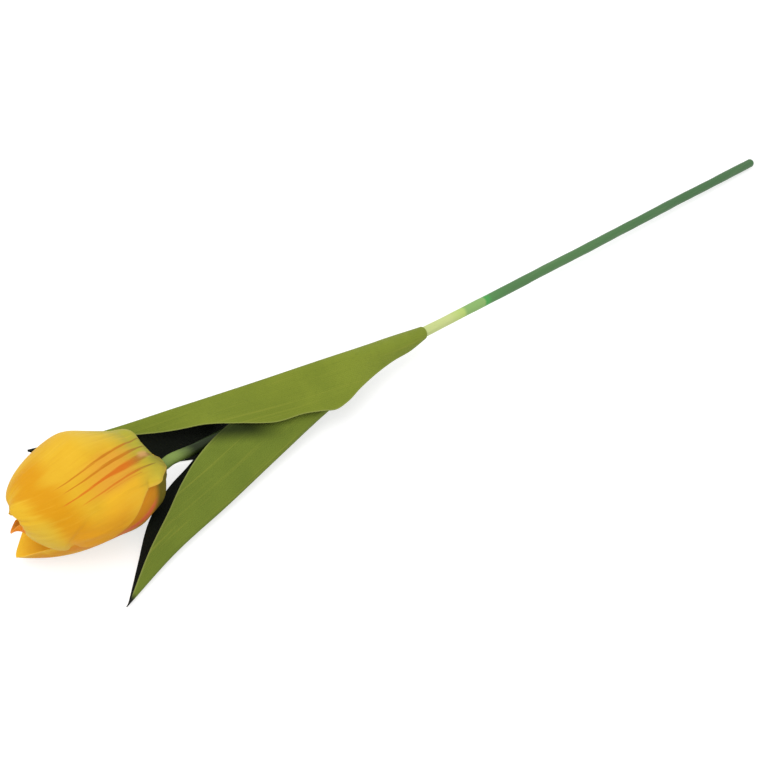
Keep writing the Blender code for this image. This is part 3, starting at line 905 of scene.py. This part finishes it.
# Along a leaf, seen from its foot with the fold's opening upwards: how far along the keel, each half's
# width in tenths of a millimetre, the angle that each half turns through from the keel's own tangent, the
# bend's radius in tenths of a millimetre, and the way that the fold opens, as a direction in the YZ plane
# measured from +Y.
UPPER_FOLD = dict(
    stops=(0.0, 0.05, 0.12, 0.18, 0.25, 0.29, 0.33, 0.36, 0.40, 0.48, 0.55, 0.62, 0.70, 0.85, 1.0),
    right_width=(72, 96, 107, 129, 172, 205, 223, 213, 200, 200, 167, 127, 94, 28, 10),
    left_width=(80, 94, 112, 137, 160, 173, 185, 192, 200, 214, 219, 243, 226, 166, 12),
    right_turn=(165, 118, 85, 67, 56, 56, 56, 56, 57, 51, 46, 46, 60, 60, 60),
    left_turn=(165, 118, 90, 73, 60, 58, 58, 58, 58, 57, 70, 89, 83, 70, 64),
    bend_radius=(28, 41, 45, 41, 33, 29, 26, 24, 22, 20, 18, 17, 15, 12, 10),
    opens_to=(250, 262, 270, 266, 256, 253, 251, 249, 246, 242, 238, 236, 234, 232, 232),
)
LOWER_FOLD = dict(
    stops=(0.0, 0.06, 0.12, 0.17, 0.22, 0.28, 0.35, 0.42, 0.50, 0.57, 0.65, 0.72, 0.80, 0.90, 1.0),
    right_width=(80, 84, 90, 109, 136, 169, 208, 238, 264, 272, 252, 232, 186, 90, 2),
    left_width=(79, 83, 91, 99, 113, 135, 167, 208, 236, 240, 222, 187, 128, 66, 2),
    right_turn=(165, 112, 82, 75, 72, 73, 76, 77, 78, 78, 78, 78, 78, 78, 78),
    left_turn=(165, 118, 90, 77, 70, 72, 76, 78, 79.5, 79.5, 79, 78.5, 78, 78, 78),
    bend_radius=(28, 31, 31, 30, 28, 25, 22, 20, 18, 17, 15, 13, 12, 11, 10),
    opens_to=(38, 40, 38, 35, 32, 29, 26, 25, 24, 23, 22, 23, 24, 24, 24),
)


def make_leaf(node, keel, fold, finish, seed):
    """A leaf folded along its keel: a sleeve round the stem at its foot, then an open V that ends in a point.

    Each half leaves the keel square to the fold, turns through its angle on a round bend, then runs
    straight. Shallow lengthwise ribs and a slow ripple at the margins lift it off that shape.
    """
    keel = np.array(keel)
    steps = np.linalg.norm(np.diff(keel, axis=0), axis=1)
    stops = np.concatenate(([0], np.cumsum(steps))) / steps.sum()
    rows = 1 - np.linspace(1, 0, LEAF_ROWS) ** 1.15
    along, across = np.meshgrid(rows, np.linspace(-1, 1, LEAF_COLUMNS), indexing="ij")

    def spot(share):
        """The keel's point at a share of its length."""
        return smooth(np.clip(share, 0, 1), stops, keel)

    nudge = 1e-3
    run = unit(spot(along + nudge) - spot(along - nudge))
    value = {key: smooth(along, fold["stops"], row) for key, row in fold.items() if key != "stops"}
    for key in ("right_width", "left_width", "bend_radius"):
        value[key] = np.maximum(value[key], 1) * 1e-4
    opens = np.radians(value["opens_to"])
    inner = np.stack((0 * opens, np.cos(opens), np.sin(opens)), -1)
    inner = unit(inner - run * (inner * run).sum(-1, keepdims=True))
    side = np.cross(inner, run)
    right = across < 0
    turn = np.radians(np.where(right, value["right_turn"], value["left_turn"]))
    width = np.where(right, value["right_width"], value["left_width"])
    reach = np.abs(across) * width
    bend = value["bend_radius"]
    bent = np.minimum(reach / bend, turn)
    straight = reach - bent * bend
    sideways = bend * np.sin(bent) + straight * np.cos(bent)
    inwards = bend * (1 - np.cos(bent)) + straight * np.sin(bent)
    sideways = np.where(right, -sideways, sideways)
    middle = spot(along) + inner * inwards[..., None] + side * sideways[..., None]
    normal = unit(np.cross(np.gradient(middle, axis=1), np.gradient(middle, axis=0)))
    open_share = ease((along - 0.14) / 0.15) * ease((1 - along) / 0.12)
    ribs = 0.00003 * np.cos(reach * 2600)
    ripple = 0.0003 * across**4 * np.sin(along * 23 + seed + np.sign(across)) * open_share
    middle = middle + normal * (ribs * open_share + ripple)[..., None]
    uv = np.stack((0.5 + np.sign(across) * reach / 0.06, along * steps.sum() / 0.2), -1)
    margin = (1 - np.abs(across)) * width
    return cloth(node, middle, LEAF_THICKNESS, uv, margin, finish, "leaf_green", tip=along)


# ---------------------------------------------------------------------------------------------
# The stage


def make_floor():
    """A wide floor a hair below the surface. The camera and reflections see it shine a little, so that it
    looks white where nothing shades it."""
    mesh = bpy.data.meshes.new("floor")
    half = 3.0
    corners = [(-half, -half, 0), (half, -half, 0), (half, half, 0), (-half, half, 0)]
    mesh.from_pydata(corners, [], [(0, 1, 2, 3)])
    floor = bpy.data.objects.new("floor", mesh)
    floor.location.z = -0.0003
    bpy.context.scene.collection.objects.link(floor)
    finish = Finish("floor_white", roughness=0.9)
    rays = finish.tree.nodes.new("ShaderNodeLightPath")
    kinds = ("Camera", "Glossy", "Transmission")
    seen, glossy, through = (Wire(finish, rays.outputs[f"Is {kind} Ray"]) for kind in kinds)
    seen = seen.greater(glossy).greater(through)
    finish.set("Base Color", finish.mix(seen, (0.75, 0.75, 0.75, 1), (0.50, 0.50, 0.50, 1)))
    finish.set("Emission Color", finish.mix(seen, (0, 0, 0, 1), (0.68, 0.68, 0.68, 1)))
    finish.shader.inputs["Emission Strength"].default_value = 1.0
    mesh.materials.append(finish.material)


def make_world():
    """An even light from all round, which looks white itself."""
    world = bpy.data.worlds.new("studio")
    bpy.context.scene.world = world
    world.use_nodes = True
    tree = world.node_tree
    tree.nodes["Background"].inputs["Color"].default_value = (1, 1, 1, 1)
    rays = tree.nodes.new("ShaderNodeLightPath")
    strength = tree.nodes.new("ShaderNodeMapRange")
    strength.inputs["To Min"].default_value = 0.80
    strength.inputs["To Max"].default_value = 1.0
    tree.links.new(rays.outputs["Is Camera Ray"], strength.inputs["Value"])
    tree.links.new(strength.outputs["Result"], tree.nodes["Background"].inputs["Strength"])


def make_lamp(name, aim, direction, distance, size, power):
    """A square soft lamp that faces the aim from a distance."""
    lamp = bpy.data.lights.new(name, "AREA")
    lamp.size = size
    lamp.energy = power
    holder = bpy.data.objects.new(name, lamp)
    way = Vector(direction).normalized()
    holder.location = Vector(aim) + way * distance
    holder.rotation_euler = way.to_track_quat("Z", "Y").to_euler()
    bpy.context.scene.collection.objects.link(holder)


def make_camera():
    """A camera above the flower's near side, turned towards the stem's cut end and looking down."""
    place, turn, tilt = (-0.1665, -0.3189, 0.3563), -40.98, 40.44
    camera = bpy.data.cameras.new("camera")
    camera.lens = 59.2
    camera.sensor_width = 36
    camera.clip_start = 0.01
    holder = bpy.data.objects.new("camera", camera)
    holder.location = Vector(place) + Vector(JOINT)
    holder.rotation_euler = (math.radians(90 - tilt), 0, math.radians(turn))
    bpy.context.scene.collection.objects.link(holder)
    bpy.context.scene.camera = holder


def main():
    """Makes every piece with its finish, and then the stage."""
    outer = petal_finish("petal_cloth_outer", True)
    inner = petal_finish("petal_cloth_inner", False)
    for name, shape in PETALS.items():
        make_petal(name, outer if "outer" in name else inner, **shape)
    make_stem(stem_finish())
    make_pistil(plain_finish("heart_plastic", colour(180, 188, 110), colour(150, 165, 84), 0.5))
    pollen = plain_finish("pollen_plastic", colour(72, 52, 34), colour(50, 36, 26), 0.7)
    for number in range(STAMENS):
        make_stamen(number, pollen)
    upper = leaf_finish("leaf_cloth_upper", (138, 152, 50), (129, 142, 44), False)
    lower = leaf_finish("leaf_cloth_lower", (119, 135, 42), (116, 132, 44), True)
    make_leaf("leaf_upper", UPPER_KEEL, UPPER_FOLD, upper, 0)
    make_leaf("leaf_lower", LOWER_KEEL, LOWER_FOLD, lower, 2)
    make_floor()
    make_world()
    make_lamp("key", aim=JOINT, direction=(-0.45, -0.15, 0.88), distance=1.3, size=0.9, power=5.5)
    make_camera()
    bpy.context.scene.view_settings.view_transform = "Standard"


main()
